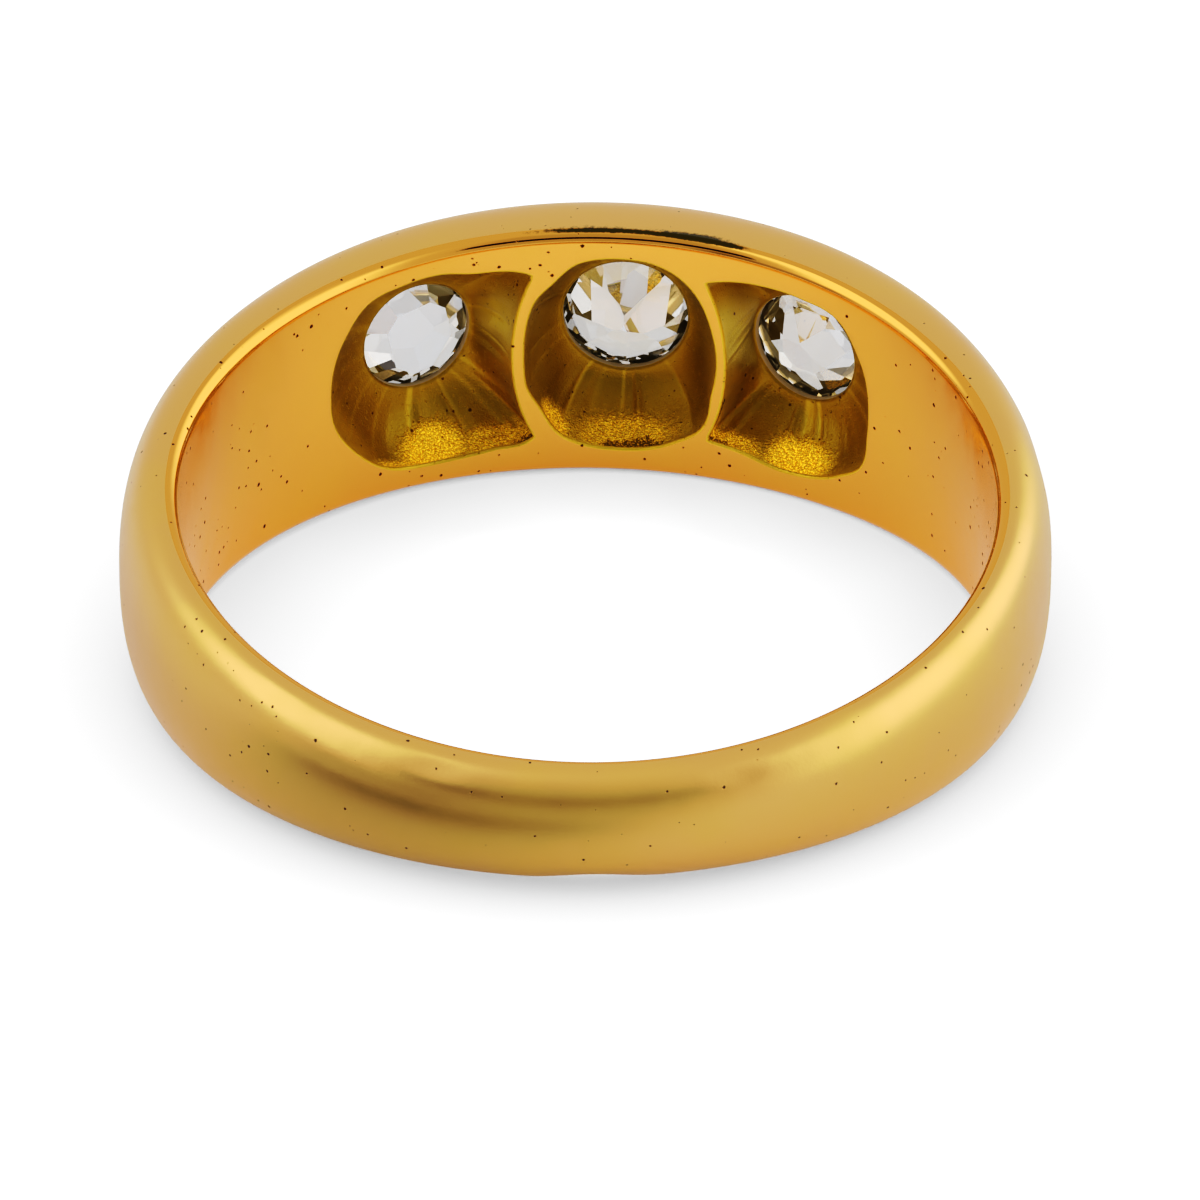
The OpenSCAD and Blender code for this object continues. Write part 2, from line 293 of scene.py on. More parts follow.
class GoldLook(bpy.types.PropertyGroup):
    """Colours and finish of the gold and the stones"""

    gold: FloatVectorProperty(
        name="Gold", description="Colour of clean gold",
        subtype="COLOR", size=3, min=0, max=1, default=(0.93, 0.535, 0.15))
    polished: FloatVectorProperty(
        name="Polished gold", description="Colour of the gold where fingers keep it bright",
        subtype="COLOR", size=3, min=0, max=1, default=(0.97, 0.46, 0.105))
    hollow: FloatVectorProperty(
        name="Hollow gold", description="Colour of the unpolished gold in the scoops",
        subtype="COLOR", size=3, min=0, max=1, default=(1.0, 0.66, 0.07))
    tarnish: FloatVectorProperty(
        name="Tarnish", description="Colour of the old gold in hollows",
        subtype="COLOR", size=3, min=0, max=1, default=(0.9, 0.62, 0.08))
    patina: FloatVectorProperty(
        name="Patina", description="Colour of the brown film in the scoops",
        subtype="COLOR", size=3, min=0, max=1, default=(0.42, 0.26, 0.03))
    mirrored: FloatVectorProperty(
        name="Mirrored gold", description="Colour that the gold's mirror image of itself leans to",
        subtype="COLOR", size=3, min=0, max=1, default=(0.9, 0.78, 0.4))
    # The painted glints: light that the grains of fresh gold give off as a glow of their own
    glint: FloatVectorProperty(
        name="Glint", description="Colour of the light on the fresh gold's grains",
        subtype="COLOR", size=3, min=0, max=1, default=(1.0, 0.44, 0.03))
    # Also the colour of the painted dark reflection along the head's upper inner edge
    soot: FloatVectorProperty(
        name="Soot", description="Colour of the dark deposit at the scoops' lower rims",
        subtype="COLOR", size=3, min=0, max=1, default=(0.08, 0.06, 0.015))
    pit: FloatVectorProperty(
        name="Pits", description="Colour of the dirt in the pits",
        subtype="COLOR", size=3, min=0, max=1, default=(0.12, 0.05, 0.015))
    seat: FloatVectorProperty(
        name="Seat", description="Colour of the dust in the stones' seats",
        subtype="COLOR", size=3, min=0, max=1, default=(0.8, 0.62, 0.36))
    satin_rough: FloatProperty(
        name="Satin roughness", description="Roughness of the worn outside", default=0.34, min=0, max=1)
    bore_rough: FloatProperty(
        name="Bore roughness", description="Roughness of the finger bore", default=0.2, min=0, max=1)
    stone: FloatVectorProperty(
        name="Stone", description="Colour of the stones",
        subtype="COLOR", size=3, min=0, max=1, default=(0.985, 0.99, 1.0))
    stone_index: FloatProperty(
        name="Stone index", description="Refractive index of the stones", default=2.417, min=1, max=3)


class StudioLook(bpy.types.PropertyGroup):
    """Camera, floor and light"""

    distance: FloatProperty(
        name="Distance", description="Distance of the camera from the middle of the bore",
        default=264.9 * MM, unit="LENGTH", precision=4)
    elevation: FloatProperty(
        name="Elevation", description="Elevation of the camera over the plane of the ring",
        default=radians(34.05), unit="ROTATION")
    azimuth: FloatProperty(
        name="Azimuth", description="Turn of the camera towards the ring's right side",
        default=radians(5), unit="ROTATION")
    roll: FloatProperty(
        name="Roll", description="Roll of the camera about its own axis",
        default=radians(0.2), unit="ROTATION")
    aside: FloatProperty(
        name="Aside", description="Shift of the camera to its right",
        default=0.28 * MM, unit="LENGTH", precision=5)
    above: FloatProperty(
        name="Above", description="Shift of the camera up its own frame",
        default=-0.538 * MM, unit="LENGTH", precision=5)
    lens: FloatProperty(
        name="Lens", description="Focal length in millimetres on a sensor 36 mm wide", default=360)
    floor: FloatVectorProperty(
        name="Floor", description="Colour of the floor",
        subtype="COLOR", size=3, min=0, max=1, default=(0.8, 0.82, 0.86))
    glow: FloatProperty(
        name="Glow", description="Light that comes through the floor beyond its lamp",
        default=0.05, min=0, max=2)
    whitening: FloatProperty(
        name="Whitening", description="Light of the floor as the picture shows it",
        default=1.8, min=0, max=2)
    light: FloatProperty(
        name="Light", description="Brightness of the light tent", default=1.0, min=0, max=10)


# Shape of the band, in the ring's own frame: the bore runs along Z and the head is at +Y

def along_rows(turn, column):
    """Value of a column of the band's rows at turns in degrees, on the uniform cubic B-spline."""
    rows = len(BAND_ROWS)
    place = (np.asarray(turn, float) - BACK_OF_SHANK) % 360 * rows / 360
    start = np.floor(place).astype(int)
    u = place - start
    weights = ((1 - u) ** 3, 3 * u ** 3 - 6 * u * u + 4, -3 * u ** 3 + 3 * u * u + 3 * u + 1, u ** 3)
    return sum(w / 6 * BAND_ROWS[(start + k) % rows, column] for w, k in zip(weights, (-1, 0, 1, 2)))


def half_width(sizes, turn):
    """Half the width of the band at turns in degrees."""
    return along_rows(turn, 0) / 100 * sizes.head_width / 2


def thickness(sizes, turn):
    """Thickness of the band at turns in degrees."""
    return along_rows(turn, 1) / 100 * sizes.head_thickness


def power(sizes, turn):
    """Power of the sines that draw the section, 1 for an ellipse and less for a squarer one."""
    headward = (1 + np.sin(np.radians(turn))) / 2
    square = sizes.shank_square + (sizes.head_square - sizes.shank_square) * headward
    return 2 / square


def polar(r, turn, z):
    """Points at distances from the axis, turns in degrees and heights."""
    angle = np.radians(turn)
    r, angle, z = np.broadcast_arrays(r, angle, z)
    return np.stack([r * np.cos(angle), r * np.sin(angle), z], -1)


def hump(x, half):
    """A smooth hump of height 1 at 0 that ends at half."""
    return np.where(np.abs(x) < half, (1 + np.cos(np.pi * np.clip(x / half, -1, 1))) / 2, 0)


def ridge(x, half):
    """A straight-sided ridge of height 1 at 0 that ends at half."""
    return np.clip(1 - np.abs(x) / half, 0, 1)


def aside(turn, middle):
    """Degrees from a middle direction, between -180 and 180."""
    return (turn - middle + 180) % 360 - 180


def skin_r(sizes, turn, across):
    """Distance of the outer face from the axis. Across runs from 0 to 180 degrees over the section."""
    base = sizes.bore / 2 + sizes.edge
    rise = (thickness(sizes, turn) - sizes.edge) * np.sin(np.radians(across)) ** power(sizes, turn)
    return base + rise


def skin_z(sizes, turn, across):
    """Height of the outer face over the middle of the band."""
    c = np.cos(np.radians(across))
    return half_width(sizes, turn) * np.sign(c) * np.abs(c) ** power(sizes, turn)


def across_at(sizes, turn, z):
    """Degrees over the section at which the outer face has a height."""
    share = np.clip(np.abs(z) / half_width(sizes, turn), 0, 1) ** (1 / power(sizes, turn))
    a = np.degrees(np.arccos(share))
    return np.where(z >= 0, a, 180 - a)


def dented(sizes, turn, across):
    """Points of the outer face, with its dents."""
    turn, across = np.broadcast_arrays(np.asarray(turn, float), np.asarray(across, float))
    sunk = np.zeros(turn.shape)
    for d in DENTS:
        here = hump(aside(turn, d.turn), d.half_turn) * hump(across - d.across, d.half_across)
        sunk = sunk + d.depth * MM * here
    out, up = np.sin(np.radians(across)), np.cos(np.radians(across))
    return polar(skin_r(sizes, turn, across) - sunk * out, turn, skin_z(sizes, turn, across) - sunk * up)


# Shape of a stone's seat and scoop

def stones_of(sizes):
    """The stones in their places, the centre one first."""
    turn = MIDDLE_OF_HEAD + CENTRE_ASIDE
    left, right, lean = np.degrees((sizes.left_turn, sizes.right_turn, sizes.side_lean))
    return (
        Stone("centre_stone", sizes.centre, turn, 0, *CENTRE_SCOOP, CENTRE_MARKS, CENTRE_FOLDS,
              CENTRE_BRIGHT, CENTRE_SOOT, CENTRE_SHAPE, 0),
        Stone("left_stone", sizes.side, turn + left, lean, *LEFT_SCOOP, LEFT_MARKS, LEFT_FOLDS,
              LEFT_BRIGHT, LEFT_SOOT, LEFT_SHAPE, LEFT_CUT_TURN),
        Stone("right_stone", sizes.side, turn - right, -lean, *RIGHT_SCOOP, RIGHT_MARKS, RIGHT_FOLDS,
              RIGHT_BRIGHT, RIGHT_SOOT, RIGHT_SHAPE, 0),
    )


def seat_distance(ring, stone):
    """Distance of a stone's girdle from the axis of the bore."""
    table = GIRDLE_HEIGHT / 2 + stone.diameter * CROWN_PART
    return ring.bore / 2 + float(thickness(ring, stone.turn)) + TABLE_STAND - table


def turned(points, degrees):
    """Points turned about the bore's axis."""
    c, s = cos(radians(degrees)), sin(radians(degrees))
    x, y, z = np.moveaxis(points, -1, 0)
    return np.stack([x * c - y * s, x * s + y * c, z], -1)


def to_ring(ring, stone, points):
    """Points of a stone's own frame, where its table faces up, in the ring's frame."""
    x, y, z = np.moveaxis(points, -1, 0)
    out = turned(np.stack([z, y, -x], -1), stone.lean)
    return turned(out + (seat_distance(ring, stone), 0, 0), stone.turn)


def directions(steps):
    """Directions round a stone's axis in radians, starting towards the left."""
    return np.arange(steps) * 2 * pi / steps


def lathe_ring(ring, stone, r, z, steps):
    """A ring of points round a stone's axis, starting towards the left."""
    a = directions(steps)
    r, z = np.broadcast_arrays(r, z)
    flat = np.stack([-r * np.sin(a), r * np.cos(a), z + 0 * a], -1)
    return to_ring(ring, stone, flat)


def oval_reach(a, w, h):
    """Reach of a squared oval from its middle in a direction."""
    powers = (np.abs(np.cos(a)) / w) ** SCOOP_SQUARE + (np.abs(np.sin(a)) / h) ** SCOOP_SQUARE
    return powers ** (-1 / SCOOP_SQUARE)


def rib_reach(a, start, w):
    """Reach from a side stone's axis to the oval that leaves the rib beside the centre scoop."""
    p = (np.cos(a) / w) ** 2 + (np.sin(a) / RIB_OVAL_HALF) ** 2
    q = start * np.cos(a) / w ** 2
    d = q * q - p * (start ** 2 / w ** 2 - 1)
    meets = (d > 0) & (q < 0)
    return np.where(meets, (-q - np.sqrt(np.where(meets, d, 0))) / p, 2 * RIB_OVAL_HALF)


def scoop_outline(ring, cut, stones, stone):
    """Outline of a scoop on the unrolled bore wall, as steps to the left and up from the stone's axis."""
    a = directions(OUTLINE_STEPS)
    start = radians(stone.turn - stones[0].turn) * ring.bore / 2
    w = np.full(OUTLINE_STEPS, stone.scoop_reach)
    if start:
        w[start * np.cos(a) < 0] *= RIB_SIDE_REACH
    reach = oval_reach(a, w, stone.scoop_half)
    for direction, half, change in stone.marks:
        reach = reach + change * MM * hump(aside(np.degrees(a), direction), half)
    if start:
        reach = np.minimum(reach, rib_reach(a, start, stones[0].scoop_reach + cut.rib_width))
    return np.stack([reach * np.cos(a), reach * np.sin(a)], -1)


def outline_normals(outline):
    """Outward directions of a closed outline, smoothed over its corners."""
    along = np.roll(outline, -1, 0) - np.roll(outline, 1, 0)
    out = np.stack([along[:, 1], -along[:, 0]], -1)
    out /= np.linalg.norm(out, axis=1, keepdims=True)
    out = out + (np.roll(out, 1, 0) + np.roll(out, -1, 0)) / 2
    return out / np.linalg.norm(out, axis=1, keepdims=True)


def on_wall(ring, stone, steps, depth):
    """Points a depth into the metal behind places on the unrolled bore wall."""
    r = ring.bore / 2
    return polar(r + depth, stone.turn + np.degrees(steps[..., 0] / r), steps[..., 1])


def seat_profile(stone, hole_height):
    """Distances and heights of the seat in a stone's frame, from the hole to the burnished mouth."""
    girdle = stone.diameter / 2
    hole, groove, mouth = girdle - BEARING_WIDTH, girdle + SEAT_GAP, girdle - MOUTH_OVERLAP
    under = GIRDLE_HEIGHT / 2 + SEAT_GAP
    crown_slope = stone.diameter * CROWN_PART / (girdle * (1 - TABLE_PART))
    pavilion_slope = stone.diameter * stone.shape.pavilion / (girdle * (1 - stone.shape.culet))
    bearing = -under - (groove - hole) * pavilion_slope
    mouth_z = under + (groove - mouth) * crown_slope + CROWN_CLEARANCE
    hole_z = bearing - hole_height
    return ((hole, hole_z + HOLE_EDGE), (hole, bearing), (groove, -under), (groove, under), (mouth, mouth_z))


def mouth_loop(ring, stone, mouth, mouth_z):
    """Where the bevel round a stone meets the outer face."""
    low, high = np.zeros(SEAT_STEPS), np.full(SEAT_STEPS, MOUTH_REACH)
    for _ in range(MOUTH_HALVINGS):
        middle = (low + high) / 2
        p = lathe_ring(ring, stone, mouth + middle * cos(MOUTH_BEVEL), mouth_z + middle * sin(MOUTH_BEVEL),
                       SEAT_STEPS)
        turn = np.degrees(np.arctan2(p[:, 1], p[:, 0]))
        outside = np.hypot(p[:, 0], p[:, 1]) > skin_r(ring, turn, across_at(ring, turn, p[:, 2]))
        high, low = np.where(outside, middle, high), np.where(outside, low, middle)
    return p, np.stack([turn, across_at(ring, turn, p[:, 2])], -1)


class Skin:
    """Points and faces of a mesh as they are made, each face with the number of its finish"""

    def __init__(self):
        self.points, self.faces, self.finishes, self.count = [], [], [], 0
        self.painted = {}

    def add(self, points):
        """Adds points and gives their numbers in the same arrangement."""
        numbers = np.arange(self.count, self.count + points[..., 0].size).reshape(points.shape[:-1])
        self.points.append(points.reshape(-1, 3))
        self.count += numbers.size
        return numbers

    def paint(self, name, numbers, amounts):
        """Remembers how much of something lies at points that are already added."""
        self.painted.setdefault(name, []).append((numbers.ravel(), amounts.ravel()))

    def add_faces(self, faces, finish):
        self.faces += [tuple(f) for f in np.asarray(faces).tolist()]
        self.finishes += [finish] * len(faces)

    def strip(self, grid, finish, first=0, last=None):
        """Quads between neighbours of a grid whose rows are closed rings along its second axis."""
        a, b = grid[:-1], grid[1:]
        a2, b2 = np.roll(a, -1, 1), np.roll(b, -1, 1)
        quads = np.stack([a, b, b2, a2], -1)[:, first:last]
        self.add_faces(quads.reshape(-1, 4), finish)

    def pierced(self, grid, places, loops, finish, margin):
        """Triangles over a rectangle of grid points, open inside the loops of (numbers, places)."""
        kept = np.ones(grid.shape, bool)
        for _, loop in loops:
            near = np.linalg.norm(places[..., None, :] - loop, axis=-1).min(-1) < margin
            kept &= ~(near | inside(places, loop))
        kept[[0, -1]] = kept[:, [0, -1]] = True
        numbers = np.concatenate([grid[kept]] + [n for n, _ in loops])
        spots = np.concatenate([places[kept]] + [p for _, p in loops])
        edges, start = [], int(kept.sum())
        for n, _ in loops:
            edges += [(start + i, start + (i + 1) % len(n)) for i in range(len(n))]
            start += len(n)
        found = delaunay_2d_cdt([Vector(p) for p in spots], edges, [], 0, SAME_PLACE, True)
        faces, source = np.array(found[2]), np.array([first for first, *_ in found[3]])
        middles = spots[source[faces]].mean(1)
        open_here = np.zeros(len(faces), bool)
        for _, loop in loops:
            open_here |= inside(middles, loop)
        self.add_faces(numbers[source][faces[~open_here]], finish)

    def mesh(self, name):
        """The finished mesh, with its faces turned outwards and its painted amounts."""
        mesh = bpy.data.meshes.new(name)
        mesh.from_pydata(np.concatenate(self.points).tolist(), [], self.faces)
        mesh.polygons.foreach_set("material_index", self.finishes)
        for label, parts in self.painted.items():
            amounts = np.zeros(self.count)
            for numbers, part in parts:
                amounts[numbers] = part
            mesh.attributes.new(label, "FLOAT", "POINT").data.foreach_set("value", amounts)
        built = bmesh.new()
        built.from_mesh(mesh)
        bmesh.ops.recalc_face_normals(built, faces=built.faces)
        built.to_mesh(mesh)
        built.free()
        mesh.shade_smooth()
        return mesh


def inside(places, loop):
    """Which of the 2-D places lie inside a closed loop."""
    x, y = places[..., 0, None], places[..., 1, None]
    (x1, y1), (x2, y2) = loop.T, np.roll(loop, -1, 0).T
    crosses = (y1 > y) != (y2 > y)
    with np.errstate(divide="ignore", invalid="ignore"):
        at = x1 + (y - y1) * (x2 - x1) / (y2 - y1)
    return (crosses & (x < at)).sum(-1) % 2 == 1


def striations(stone, a):
    """Fine file marks down a scoop's wall, as heights in metres for directions round the stone."""
    draw = np.random.default_rng(len(stone.marks) + int(stone.turn))
    marks = np.zeros(a.shape)
    for _ in range(STREAKS):
        direction, half = draw.uniform(0, 360), draw.uniform(*STREAK_HALVES)
        height = draw.normal(0, STREAK_HEIGHT)
        height *= 1 + STREAK_FAN * hump(aside(direction, DOWN), STREAK_FAN_HALF)
        marks += height * ridge(aside(np.degrees(a), direction), half)
    return marks


def patch_share(patches, a, share):
    """How much of a patch lies at directions round the stone and a share of the way to the hole."""
    found = np.zeros(a.shape)
    for direction, half, first, last, amount in patches:
        along = hump(share - (first + last) / 2, (last - first) / 2 + PATCH_FADE)
        here = np.clip(PATCH_RAISE * hump(aside(np.degrees(a), direction), half) * along, 0, 1)
        found = np.maximum(found, amount * here)
    return found


def add_scoop(skin, ring, stones, stone, cut):
    """A scoop from the bore wall to the hole. Gives its loop on the wall and the ring of the hole."""
    outline = scoop_outline(ring, cut, stones, stone)
    out = outline_normals(outline)
    lip = cut.lip
    a = directions(OUTLINE_STEPS)
    hole, hole_z = seat_profile(stone, cut.hole_height)[0]
    hole_z -= HOLE_EDGE
    depth = seat_distance(ring, stone) + hole_z - ring.bore / 2
    rings = []
    for phi in np.linspace(0, pi / 2, LIP_STEPS + 1):
        rings.append(on_wall(ring, stone, outline + out * lip * (1 - sin(phi)), lip * (1 - cos(phi))))
    rim, deep = rings[-1], on_wall(ring, stone, outline, depth)
    end = lathe_ring(ring, stone, hole + HOLE_EDGE, hole_z, OUTLINE_STEPS)
    marks = striations(stone, a)
    fold = marks.copy()
    for direction, half, height in stone.folds:
        fold += height * MM * ridge(aside(np.degrees(a), direction), half)
    turn = radians(stone.turn)
    push = np.stack([-sin(turn) * np.cos(a), cos(turn) * np.cos(a), np.sin(a)], -1)
    p = 2 / SCOOP_HOLLOW
    fan = RAY_LEAST + (1 - RAY_LEAST) * hump(aside(np.degrees(a), DOWN), RAY_FAN)
    tint = np.clip(marks / RAY_HEIGHT, -1, 1) * fan
    thick = 1 - SIDE_PALE * np.cos(a) ** 2
    amounts = {name: [0 * a] * (LIP_STEPS + 1) for name in ("bright", "soot", "deepness", "rays")}
    for step in range(1, SCOOP_STEPS + 1):
        share, b = step / SCOOP_STEPS, pi / 2 * step / SCOOP_STEPS
        point = deep + (rim - deep) * (1 - sin(b) ** p) + (end - deep) * (1 - max(cos(b), 0) ** p)
        rings.append(point + push * fold[:, None] * sin(2 * b))
        # Bright patches: fresh metal, which also carries the painted glints
        amounts["bright"].append(patch_share(stone.bright, a, share))
        amounts["soot"].append(patch_share(stone.soot, a, share))
        # Deepness darkens the scoop towards the hole: partly patina, partly painted shade deep in the scoop
        amounts["deepness"].append(share * thick)
        amounts["rays"].append(tint * sin(b))
    numbers = skin.add(np.array(rings))
    for name, rows in amounts.items():
        skin.paint(name, numbers, np.array(rows))
    skin.strip(numbers, SCOOP)
    return numbers[0], outline + out * lip, numbers[-1]


def add_seat(skin, ring, stone, cut, hole_ring):
    """The seat from the hole to the mouth. Gives the mouth's loop on the outer face."""
    profile = seat_profile(stone, cut.hole_height)
    rings = [lathe_ring(ring, stone, r, z, SEAT_STEPS) for r, z in profile]
    loop, places = mouth_loop(ring, stone, *profile[-1])
    numbers = skin.add(np.array(rings + [loop]))
    join_rings(skin, hole_ring, numbers[0], SCOOP)
    skin.strip(numbers[:-1], SEAT)
    skin.strip(numbers[-2:], EDGE)
    return numbers[-1], places


def join_rings(skin, first, second, finish):
    """Triangles between two closed rings that start at the same direction and have different counts."""
    i, j, n, m = 0, 0, len(first), len(second)
    faces = []
    while i < n or j < m:
        if j == m or (i < n and (i + 1) * m <= (j + 1) * n):
            faces.append((first[i], first[(i + 1) % n], second[j % m]))
            i += 1
        else:
            faces.append((first[i % n], second[(j + 1) % m], second[j]))
            j += 1
    skin.add_faces(faces, finish)


def resting(ring):
    """The turn from the ring's own frame to its place on the floor."""
    return Matrix.Rotation(ring.roll, 3, "Y") @ Matrix.Rotation(ring.lean, 3, "X")


def bore_place():
    """The middle of the finger bore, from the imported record."""
    mount = next(m for m in frame["record"]["mounts"] if m["name"] == "finger_bore")
    return Vector(mount["pos_m"])


def on_floor(ring, points):
    """Points of the ring's own frame, where they are as it rests on the floor."""
    return points @ np.array(resting(ring)).T + np.array(bore_place())


def inner_edge(ring, turns, side):
    """Rows of points from the outer face to the bore wall, over the upper edge (side 1) or the lower (-1)."""
    rows = []
    for rise in np.radians(np.linspace(90, 0, EDGE_STEPS + 1)[1:]):
        z = half_width(ring, turns) - ring.edge * (1 - sin(rise))
        rows.append(polar(ring.bore / 2 + ring.edge * (1 - cos(rise)), turns, side * z))
    return np.array(rows)


def build_band(scene):
    """The whole skin of the band: outer face, inner edges, bore wall, scoops and seats."""
    ring, cut = scene.ring_sizes, scene.stone_sizes
    stones, r = stones_of(cut), ring.bore / 2
    skin = Skin()
    turns = BACK_OF_SHANK + np.arange(TURN_STEPS) * 360 / TURN_STEPS
    across = np.linspace(0, 180, ACROSS_STEPS + 1)
    shares = np.linspace(1, -1, BORE_STEPS + 1)
    wall = [polar(r, turns, (half_width(ring, turns) - ring.edge) * share) for share in shares[1:-1]]
    outer_numbers = skin.add(dented(ring, turns[None, :], across[:, None]))
    upper_numbers, lower_numbers = (skin.add(inner_edge(ring, turns, side)) for side in (1, -1))
    wall_numbers = np.concatenate([upper_numbers[-1:], skin.add(np.array(wall)), lower_numbers[-1:]])
    skin.strip(np.concatenate([outer_numbers[:1], upper_numbers]), EDGE)
    # A painted dark reflection along the upper inner edge, kept with the scoops' soot
    dark_reflection = sum(amount * hump(aside(turns, turn), half) for turn, half, amount in EDGE_DARK_REFLECTION)
    for row, share in zip((outer_numbers[0], *upper_numbers), EDGE_DARK_REFLECTION_ROWS):
        skin.paint("soot", row, share * dark_reflection)
    skin.strip(np.concatenate([outer_numbers[-1:], lower_numbers]), EDGE)

    wall_loops, face_loops = [], []
    for stone in stones:
        loop, outline, hole_ring = add_scoop(skin, ring, stones, stone, cut)
        turn = stone.turn + np.degrees(outline[:, 0] / r)
        wall_loops.append((loop, np.stack([np.radians(turn) * r, outline[:, 1]], -1)))
        face_loops.append(add_seat(skin, ring, stone, cut, hole_ring))

    first, last = (int(round((turn - BACK_OF_SHANK) * TURN_STEPS / 360)) for turn in OPENINGS)
    for numbers, finish, places, loops, margin in (
        (wall_numbers, BORE, wall_places(ring, turns, shares), wall_loops, WALL_MARGIN),
        (outer_numbers, SATIN, face_places(turns, across), face_loops, FACE_MARGIN),
    ):
        skin.strip(numbers, finish, 0, first)
        skin.strip(numbers, finish, last)
        loops = [(n, to_patch(ring, finish, p)) for n, p in loops]
        skin.pierced(numbers[:, first:last + 1], places[:, first:last + 1], loops, finish, margin)

    skin.points = [on_floor(ring, np.concatenate(skin.points))]
    return skin.mesh("gold_band")


# The stones, cut one facet at a time as a cutter does, in a stone's own frame where its table faces up

def cut_plane(built, normal, distance):
    """Takes away what lies outside a plane and closes the cut with one flat facet."""
    parts = built.verts[:] + built.edges[:] + built.faces[:]
    found = bmesh.ops.bisect_plane(built, geom=parts, plane_co=normal * distance, plane_no=normal,
                                   clear_outer=True, dist=SAME_CORNER)
    edges = [e for e in found["geom_cut"] if isinstance(e, bmesh.types.BMEdge)]
    if len(edges) > 2:
        bmesh.ops.contextual_create(built, geom=edges)


def stone_mesh(stone, ring):
    """A stone, cut from a round blank in its own frame and set in its seat."""
    radius, draw, shape = stone.diameter / 2, np.random.default_rng(int(stone.turn)), stone.shape
    built = bmesh.new()
    bmesh.ops.create_cone(built, cap_ends=True, segments=GIRDLE_STEPS, radius1=radius, radius2=radius,
                          depth=stone.diameter)
    for side, kinds in ((1, shape.above), (-1, shape.below)):
        for kind in kinds:
            for i in range(kind.count):
                turn = radians(stone.cut_turn + kind.first + 360 * i / kind.count)
                slope = radians(kind.slope + draw.normal(0, shape.uneven))
                reach = radius * (1 - kind.inset + draw.normal(0, UNEVEN_INSET) * (kind.inset > 0))
                normal = Vector((cos(turn) * sin(slope), sin(turn) * sin(slope), side * cos(slope)))
                cut_plane(built, normal, reach * sin(slope) + GIRDLE_HEIGHT / 2 * cos(slope))
    table_z = GIRDLE_HEIGHT / 2 + stone.diameter * CROWN_PART
    culet_z = GIRDLE_HEIGHT / 2 + stone.diameter * shape.pavilion
    cut_plane(built, Vector((0, 0, 1)), table_z)
    cut_plane(built, Vector((0, 0, -1)), culet_z)
    points = np.array([v.co[:] for v in built.verts])
    for vertex, point in zip(built.verts, on_floor(ring, to_ring(ring, stone, points))):
        vertex.co = point
    bmesh.ops.recalc_face_normals(built, faces=built.faces)
    mesh = bpy.data.meshes.new("cut_" + stone.node)
    built.to_mesh(mesh)
    built.free()
    return mesh


# A patch is cut in a flat frame of about one unit to a millimetre, where its border is a rectangle

def wall_places(ring, turns, shares):
    """Places of the bore wall's grid in its patch."""
    s, v = np.meshgrid(np.radians(turns) * ring.bore / 2 / MM, shares * ring.head_width / 2 / MM)
    return np.stack([s, v], -1)


def face_places(turns, across):
    """Places of the outer face's grid in its patch."""
    return np.stack(np.meshgrid(turns, across), -1) / FACE_UNIT


def to_patch(ring, finish, places):
    """Places of a loop in the patch of its finish."""
    if finish == SATIN:
        return places / FACE_UNIT
    turn = np.degrees(places[:, 0] / (ring.bore / 2))
    share = places[:, 1] / (half_width(ring, turn) - ring.edge)
    return np.stack([places[:, 0] / MM, share * ring.head_width / 2 / MM], -1)


# Materials. Lengths in the groups are in millimetres. The first two numbers that mapped() gets with a noise
# are the levels of that noise between which an effect grows.

BLACK = (0.0, 0.0, 0.0, 1.0)
WHITE = (1.0, 1.0, 1.0, 1.0)
MICRON = MM * MM
# Pits: the waves of their outlines in a millimetre and how far these go, their crowds in a millimetre, how
# thin and how thick they stand, how small and how large they are, where their flat bottom ends, and how
# much rougher they are than the gold round them
PIT_WAVES_PER_MM = 14.0
PIT_WAVE = 0.045
PIT_CROWDS_PER_MM = 0.42
PIT_CROWDING = (0.25, 1.7)
PIT_SIZES = (0.45, 1.25)
PIT_BOTTOM = 0.55
PIT_ROUGH = 0.4
# Clouds of uneven metal in a millimetre, and hairlines in a millimetre along X, Y and the bore
CLOUDS_PER_MM = 0.33
HAIRLINES_PER_MM = (0.7, 0.7, 26.0)


def fill(tree, node, inputs):
    """Links each of these inputs of a node to a socket, or sets it to a value."""
    for key, value in inputs.items():
        if isinstance(value, bpy.types.NodeSocket):
            tree.links.new(value, node.inputs[key])
        elif value is not None:
            node.inputs[key].default_value = value


def add(tree, kind, inputs=(), **settings):
    """A new node with its settings and inputs, which are given by name or in their order."""
    new = tree.nodes.new(kind)
    for name, value in settings.items():
        setattr(new, name, value)
    fill(tree, new, inputs if isinstance(inputs, dict) else dict(enumerate(inputs)))
    return new


def math(tree, operation, *inputs, clamp=False):
    """What an operation makes of one, two or three values."""
    return add(tree, "ShaderNodeMath", inputs, operation=operation, use_clamp=clamp).outputs[0]


def mapped(tree, value, low, high, to_low=0.0, to_high=1.0, smooth=True):
    """A value that goes from to_low to to_high while another goes from low to high."""
    kind = "SMOOTHSTEP" if smooth else "LINEAR"
    inputs = (value, low, high, to_low, to_high)
    return add(tree, "ShaderNodeMapRange", inputs, interpolation_type=kind).outputs[0]


def mixed(tree, share, first, second):
    """A colour between two colours. Inputs 6 and 7 and output 2 of a Mix node are the ones for colours."""
    return add(tree, "ShaderNodeMix", {0: share, 6: first, 7: second}, data_type="RGBA").outputs[2]


def noise(tree, where, per_mm, detail=2.0, rough=0.5):
    """Uneven values between 0 and 1, with so many waves in a millimetre."""
    inputs = {"Vector": where, "Scale": per_mm, "Detail": detail, "Roughness": rough}
    return add(tree, "ShaderNodeTexNoise", inputs).outputs["Fac"]


